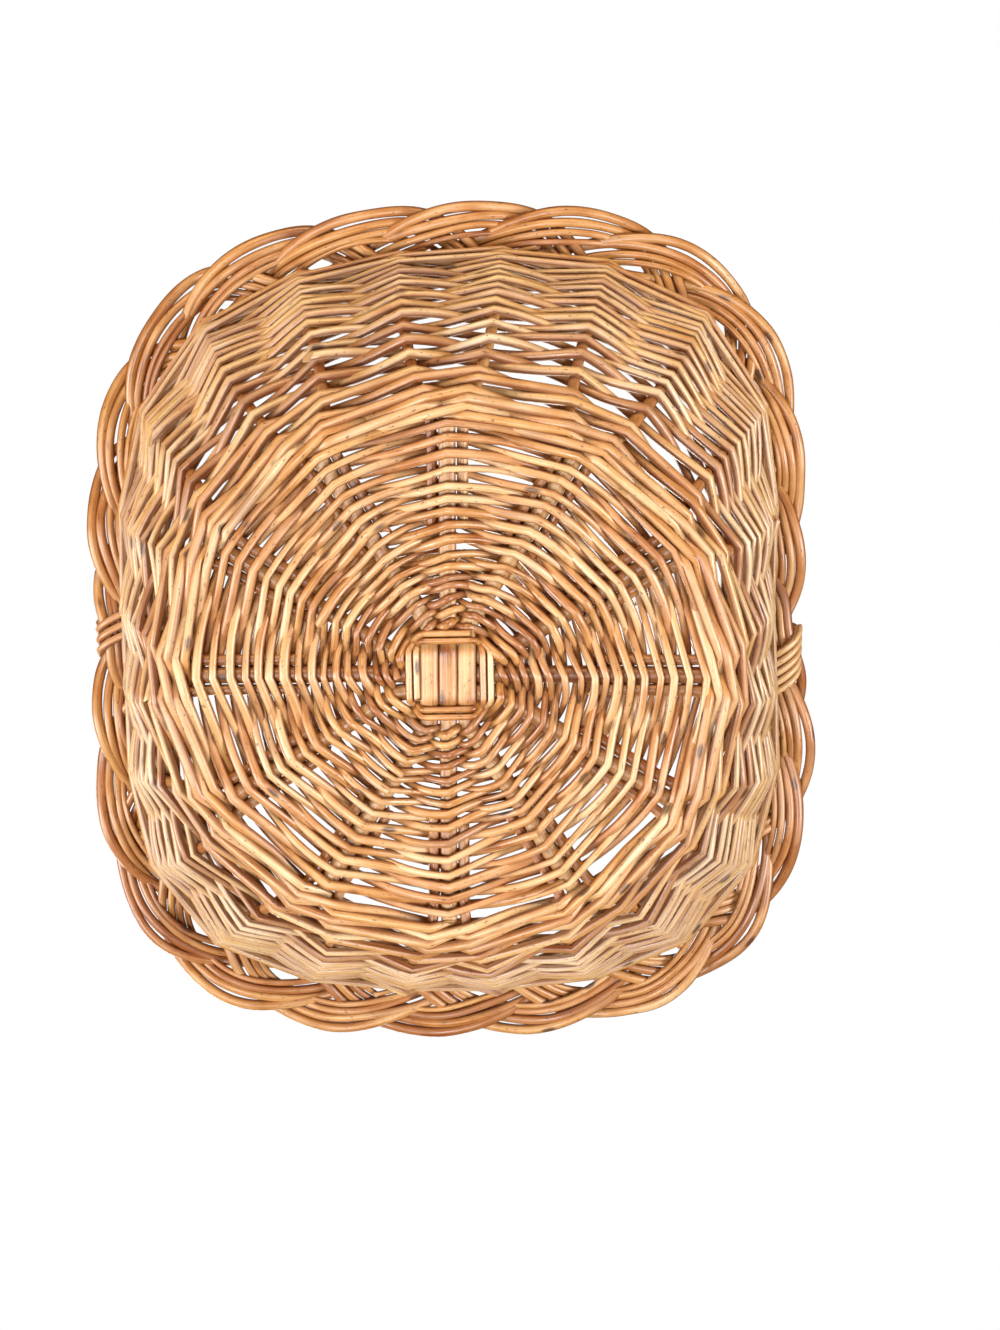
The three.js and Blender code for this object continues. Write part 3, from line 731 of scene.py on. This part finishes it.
# Beside its stick along the base, round the bend at the base's edge and up the wall to its rim.
def stakeLine(k, start):
    j, side = k // 2, (1 if k % 2 else -1)
    r = np.array([start, (start + stakes["halfTo"]) / 2, stakes["baseEnd"]])
    p, q = spokeAt(j, r), spokeAt(j, r + 0.5)
    along = unit(q - p)
    points = list(p + np.stack([-along[:, 1], along[:, 0], 0 * r], -1) * side * basket["stakeBeside"])
    angle = fullTurn / basket["spokes"] * j + side * bendHalf
    points.append(polar(basket["bendRadius"] - stakes["bendInset"], angle, basket["bendLevel"]))
    u = np.array(stakes["heights"])
    return np.array(points + list(wallPoint(stakeAngle(k, u), u)))


# The plait's strand: it swings in and out as a sine, blunt outside and sharp inside, slower on its way
# out, and down and up at twice the rate, so that it passes in front on its way out. The slot moves a
# rod sideways in its group, square to the strand.
def plaitLine(angle, strand, slot, seed):
    b = border
    phase = basket["plaitPeriods"] * angle + fullTurn * (strand / 3 + b["phase"])
    off = np.abs((angle + np.pi / 2) % np.pi - np.pi / 2)
    held = np.exp(-(off / np.radians(b["pinchWidth"])) ** 2)
    tight = 1 - b["pinch"] * held
    r = outline(basket["plaitHalfWidth"], basket["plaitHalfLength"], angle) - b["pullIn"] * held
    bent = phase + b["skew"] * np.sin(phase)
    swing = b["swing"] * (np.sin(bent) + b["blunt"] * np.cos(2 * bent))
    lean = np.arctan(np.gradient(swing, angle) / r)
    side = (swing + slot * np.cos(lean)) * tight + wobble(angle, seed, b["wanderAngle"], b["wander"])
    lift = -b["lift"] * np.sin(2 * bent) * mix(1, tight, 0.5)
    lift = lift + wobble(angle, seed + 1, b["liftWanderAngle"], b["wander"] * b["liftWander"])
    return polar(r + side, angle - slot * np.sin(lean) / r, basket["plaitLevel"] + lift)


# Each stake's end lies down into the plait beside the ends of its neighbours and tapers to its cut tip.
def stakesAndBorder():
    wall, plait = [], []
    for k in range(basket["stakes"]):
        tone, seed = tones(stakes["tone"], stakes["spread"]), int(chance.integers(1, rodMake["patterns"]))
        line = refined(stakeLine(k, chance.uniform(*stakes["start"])), stakes["step"], stakes["softness"])
        reach = len(line)
        topAngle = float(stakeAngle(k, 1.0))
        periods = border["periods"] + chance.uniform(-border["periodsSpread"], border["periodsSpread"])
        span = periods * fullTurn / basket["plaitPeriods"]
        angle = topAngle + np.linspace(0, span, int(border["periods"] * 3 * border["perStake"]))
        t = (angle - topAngle) / span
        slot = sum(c * (t * border["periods"]) ** power for power, c in enumerate(border["slots"]))
        slot = mix(border["joinSlot"], slot, smooth(t * border["periods"] / border["joinPeriods"]))
        path = plaitLine(angle, (2 - k) % 3, slot, border["seed"] + k)
        join = smooth((angle - topAngle) / np.radians(border["joinAngle"]))[:, None]
        path = mix(line[-1] + (path - path[0]) * border["joinDrag"], path, join)
        path[:, 2] = mix(np.maximum(line[-1, 2], path[:, 2]), path[:, 2], join[:, 0])
        whole = np.concatenate([line, refined(path, stakes["step"], border["joinSoftness"])[1:]])
        index = np.arange(len(whole))
        radius = np.interp(index, [0, reach, len(whole) - 1],
                           [basket["stakeRadius"], border["buttRadius"], border["tipRadius"]])
        radius = radius * chance.normal(1, border["uneven"]) * (1 + wobble(index, seed, *border["waves"]))
        tangent = polar(1.0, stakeAngle(k, 0.5) + np.pi / 2, 0.0)
        wall.append(rod(whole[:reach], tangent, radius[:reach], tone, seed, slant=(stakes["cutSlant"], 0)))
        plait.append(rod(whole[reach - 1:], (0, 0, 1), radius[reach - 1:],
                         mix(tone, border["tone"], border["toneShare"]), seed + border["seedShift"],
                         slant=(0, border["tipSlant"])))
    makePiece("sideStakes", wall, willows["buff willow stake with painted shade"],
              [f"stake_{k + 1:02d}" for k in range(basket["stakes"])])
    makePiece("plaitedBorder", plait, willows["buff willow border rod"],
              [f"border_strand_{i}" for i in (1, 2, 3)], sides=10)


stakesAndBorder()

wale = {
    "perStake": 6, "gap": 0.1, "levelWander": 0.003, "waves": (4, 0.05),
    "frontAt": (0, 1, 2, 3), "front": (1, 1, -1, 1),  # at these stakes of three: +1 before them, -1 behind
    "liftAt": (0, 1, 1.5, 2, 2.5, 3), "lift": (-0.5, 0.5, 0.5, 0.0, -0.5, -0.5),
}
upsett = {
    "radius": 2.1, "tone": 0.53, "spread": 0.14, "seed": 11,
    "rows": ((107.6, 0.15), (112.2, 0.55), (None, 0.085)),  # radius and lean at the bend, or height
}
topWale = {"radius": 1.5, "tone": 0.5, "spread": 0.14, "seed": 41, "rows": ((None, 0.905), (None, 0.97))}
siding = {
    "rows": 11, "first": 0.18, "last": 0.852, "loosen": 0.42, "perSpan": 8,
    "thickRadius": 1.85, "thinRadius": 1.55, "longest": 40, "shortest": 26,
    "gap": 0.1, "crossLift": 0.8, "straight": 0.85,
    "crossing": (0.07, 0.04, 5.1, 0),  # as for the base
    "steadier": 0.75, "footEase": 8,  # rows drift less towards the top, and start level
    "drift": 0.16, "driftSeed": 80, "wander": 0.1, "wanderSpans": 3.0, "wanderSeed": 81,
    # the recess share is painted shade where a rod passes behind the stakes
    "uneven": 0.07, "buttsInFront": 0.35, "buttProud": 1.2, "tone": 0.68, "spread": 0.08, "recessShade": 0.17,
}


# A line round the wall, straight from stake to stake, with the wall's normal and rise at each place.
def wallLine(s, u):
    k0 = np.floor(s).astype(int)
    f = (s - k0)[:, None]
    count = basket["stakes"]
    a0, a1 = stakeAngle(k0 % count, u), stakeAngle((k0 + 1) % count, u)
    frames = [wallFrame(a0, u), wallFrame(a1, u)]
    line = mix(wallPoint(a0, u), wallPoint(a1, u), f)
    return line, unit(mix(frames[0][0], frames[1][0], f)), unit(mix(frames[0][1], frames[1][1], f))


# The same at the bend of the stakes, where the normal points down and leans out by the sine given.
def bendLine(s, radius, out):
    k0 = np.floor(s).astype(int)
    f = (s - k0)[:, None]
    ends = []
    for k in (k0, k0 + 1):
        spoke = (k % basket["stakes"]) // 2
        angle = fullTurn / basket["spokes"] * spoke + np.where(k % 2, 1, -1) * bendHalf
        ends.append(polar(radius, angle, basket["bendLevel"]))
    line = mix(ends[0], ends[1], f)
    outward = unit(line * [1, 1, 0])
    down, flat = np.array([0, 0, -1.0]), np.sqrt(1 - out * out)
    return line, out * outward + flat * down, flat * outward - out * down


# Three rods, each in front of two stakes and behind the next; each rod passes low over the first and
# high over the second, so the strokes lie like a rope.
def threeRodWale(w):
    rods = []
    count, n = basket["stakes"], wale["perStake"]
    s = np.arange(count * n) / n
    for row, (bend, u) in enumerate(w["rows"]):
        for i in range(3):
            if bend:
                line, normal, rise = bendLine(s, bend, u)
            else:
                level = u + wobble(s / count * fullTurn, w["seed"] + row, fullTurn / 2, wale["levelWander"])
                line, normal, rise = wallLine(s, level)
            phase = (s - i - row) % 3
            size = w["radius"] * (1 + wobble(s, w["seed"] + 10 * row + i, *wale["waves"]))
            front = np.interp(phase, wale["frontAt"], wale["front"])
            front = front * (basket["stakeRadius"] + w["radius"] + wale["gap"])
            lift = np.interp(phase, wale["liftAt"], wale["lift"]) * 2 * w["radius"]
            path = line + normal * front[:, None] + rise * lift[:, None]
            tone = tones(w["tone"], w["spread"])
            rods.append(rod(path, normal, size, tone, w["seed"] + 3 * row + i, closed=True))
    return rods


# Rounds of pairing up the wall, wide apart above the upsett and close below the top wale.
def sidingPairing(w):
    count = basket["stakes"]
    total, s, k0, f, row, share = spans(w["rows"], count, w["perSpan"])
    climb = share + w["loosen"] * share * (1 - share)
    rowGap = (w["last"] - w["first"]) / w["rows"]
    thick = mix(w["thickRadius"], w["thinRadius"], share)
    loose = 1 - w["steadier"] * share
    drift = rowDrift(s, count, w["driftSeed"], w["drift"]) * rowGap * loose * smooth(share * w["footEase"])
    level = mix(w["first"], w["last"], climb) + drift
    rods = []
    for strand in (0, 1):
        wander = wobble(s, w["wanderSeed"] + strand, w["wanderSpans"], 1.0) * w["wander"]
        u = level + wander * rowGap * loose
        line, normal, rise = wallLine(s, u)
        front = np.where((k0 + strand) % 2 == 0, 1, -1)
        passing = front * pairWave(f, crossingAt(row, k0, strand, w), w["straight"])
        out = passing * (basket["stakeRadius"] + thick + w["gap"])
        part = front * thick * w["crossLift"] * np.sin(np.pi * f)
        path = line + normal * out[:, None] + rise * part[:, None]
        strandLine = dict(path=path, s=s, thick=thick, reference=normal, outward=normal, aside=rise,
                          front=passing)
        rods += [strandRod(strandLine, *ends, w) for ends in splitRods(total, w["longest"], w["shortest"])]
    return rods


makePiece("upsettWale", threeRodWale(upsett), willows["buff willow border rod"],
          ["upsett_rod_1", "upsett_rod_2", "upsett_rod_3"])
makePiece("sidingWeave", sidingPairing(siding), willows["buff willow weaver"],
          ["siding_weaver_a", "siding_weaver_b"])
makePiece("topWale", threeRodWale(topWale), willows["buff willow weaver"],
          ["top_wale_rod_1", "top_wale_rod_2", "top_wale_rod_3"])

handle = {
    "legBottom": 34.0, "bowRadius": 6.0, "legOut": 113.5, "archFoot": 107.1, "archRise": 166.9,
    "legPoints": 20, "archPoints": 90,
    "wallHalf": 3.8, "ropeRoom": 2.6, "gap": 0.6,  # what a leg keeps from the wall's middle
    "bowTone": 0.5, "bowSeed": 5, "bowWaves": (30, 0.01),
}
roping = {
    "groups": 4, "perGroup": 3, "radius": 1.85, "turns": 6, "perTurn": 26, "gap": 0.15,
    "soften": 0.6,  # the ropes untwist towards the feet
    "innerSide": -0.3, "footInside": 58.0, "footOutside": 104.5,  # where they end, inside or on the border
    "footWander": 6, "legStep": 3.0,
    "butt": 1.08, "tip": 0.88, "waves": (9, 0.04), "wavePoints": 8.0,
    "tone": 0.58, "spread": 0.14, "seed": 60,
}
lashing = {
    "left": dict(sign=-1, loops=5, radius=1.75, slant=7.5, climb=5.0, pitch=4.3, place=-14.5),
    "right": dict(sign=1, loops=3, radius=1.8, slant=6.5, climb=4.0, pitch=4.8, place=4.5),
    "reach": 14.8, "halfHeight": 8.6, "power": 0.66,
    "perLoop": 40, "step": 1.6, "softness": 1.2, "tone": 0.6, "spread": 0.08, "seed": 90,
}


def arch(t):  # half an ellipse from foot to foot
    z = handle["archFoot"] + handle["archRise"] * np.sin(t)
    return np.stack([handle["legOut"] * np.cos(t), 0 * t, z], -1)


# One thick rod: up inside the wall, over in half an ellipse and down the other side.
def bow():
    h = handle
    z = np.linspace(h["legBottom"], h["archFoot"], h["legPoints"])[:-1]
    wall = wallPoint(0 * z, np.clip((z - basket["wallBottom"]) / basket["wallHeight"], 0, 1))[:, 0]
    inside = wall - h["wallHalf"] - h["ropeRoom"] - h["bowRadius"] - h["gap"]
    leg = np.stack([np.minimum(h["legOut"], inside), 0 * z, z], -1)
    path = np.concatenate([leg, arch(np.linspace(0, np.pi, h["archPoints"])), (leg * [-1, 1, 1])[::-1]])
    radius = h["bowRadius"] * (1 + wobble(np.arange(len(path)), h["bowSeed"], *h["bowWaves"]))
    makePiece("handleBow", [rod(path, (0, 1, 0), radius, h["bowTone"], h["bowSeed"])],
              willows["buff willow handle rod"], ["handle_bow"], sides=16)


# Rods side by side round the bow: a helix on the arch that straightens towards its feet, where the rods
# on the inner side run on down beside the bow and those on the outer side stop on the border.
def ropeRods():
    h, r = handle, roping
    count = r["groups"] * r["perGroup"]
    rods = [[] for _ in range(r["groups"])]
    for i in range(count):
        share = np.linspace(0.0, 1.0, r["turns"] * r["perTurn"] + 1)
        twist = share - r["soften"] * np.sin(fullTurn * share) / fullTurn
        centre = arch(np.pi * share)
        along = unit(np.gradient(centre, axis=0))
        a = fullTurn * ((i + 0.5) / count + r["turns"] * twist)
        stop = r["footOutside"]
        if np.cos(a[0]) > r["innerSide"]:
            stop = r["footInside"] + chance.uniform(-r["footWander"], r["footWander"])
        down = np.arange(1, int((h["archFoot"] - stop) / r["legStep"]) + 1)[::-1] * r["legStep"]
        legs = [np.stack([sign * h["legOut"] + 0 * down, 0 * down, h["archFoot"] - down], -1)
                for sign in (1, -1)]
        centre = np.concatenate([legs[0], centre, legs[1][::-1]])
        along = np.concatenate([legs[0] * 0 + [0, 0, 1.0], along, legs[1] * 0 + [0, 0, -1.0]])
        a = np.concatenate([a[0] + 0 * down, a, a[-1] + 0 * down])
        across = np.cross(along, (0, 1, 0))
        normal = across * np.cos(a)[:, None] + np.array([0, 1, 0]) * np.sin(a)[:, None]
        ends = (r["butt"], r["tip"])[::1 if i % 2 else -1]
        size = r["radius"] * (1 + wobble(np.arange(len(a)) / r["wavePoints"], r["seed"] + i, *r["waves"]))
        size = size * np.linspace(*ends, len(a))
        path = centre + normal * (h["bowRadius"] + size + r["gap"])[:, None]
        tone = tones(r["tone"], r["spread"])
        rods[i // r["perGroup"]].append(rod(path, normal, size, tone, r["seed"] + i))
    for g in range(r["groups"]):
        makePiece(f"handleRoping{g + 1}", rods[g], willows["buff willow handle rod"],
                  [f"handle_roping_{g + 1}"])


# Slanting turns round the border at the bow's feet, each a rounded square that leans along the rim.
def lashings():
    g = lashing
    ends = np.array([0.0, np.pi])
    middle = outline(basket["plaitHalfWidth"], basket["plaitHalfLength"], ends) - border["pullIn"]
    for name in ("left", "right"):
        w = g[name]
        centre = middle[0 if w["sign"] > 0 else 1] * w["sign"]
        i = np.linspace(0, w["loops"], w["loops"] * g["perLoop"] + 1)
        a = fullTurn * i
        side, rise = (np.sign(v) * np.abs(v) ** g["power"] for v in (np.cos(a), np.sin(a)))
        along = w["pitch"] * (i - w["loops"] / 2) + w["slant"] * side + w["climb"] * rise
        path = np.stack([centre + w["sign"] * g["reach"] * side, w["place"] - w["sign"] * along,
                         basket["plaitLevel"] + g["halfHeight"] * rise], -1)
        path = refined(path, g["step"], g["softness"])
        normal = unit(path - [centre, 0, basket["plaitLevel"]]) * [1, 0, 1]
        tone = tones(g["tone"], g["spread"])
        turns = rod(path, normal, w["radius"], tone, g["seed"] + w["loops"])
        makePiece(f"handleLashing{name.capitalize()}", [turns], willows["buff willow handle rod"],
                  [f"handle_lashing_{name}"])


bow()
ropeRods()
lashings()
print("all pieces are made")

scene.view_settings.view_transform = "Standard"
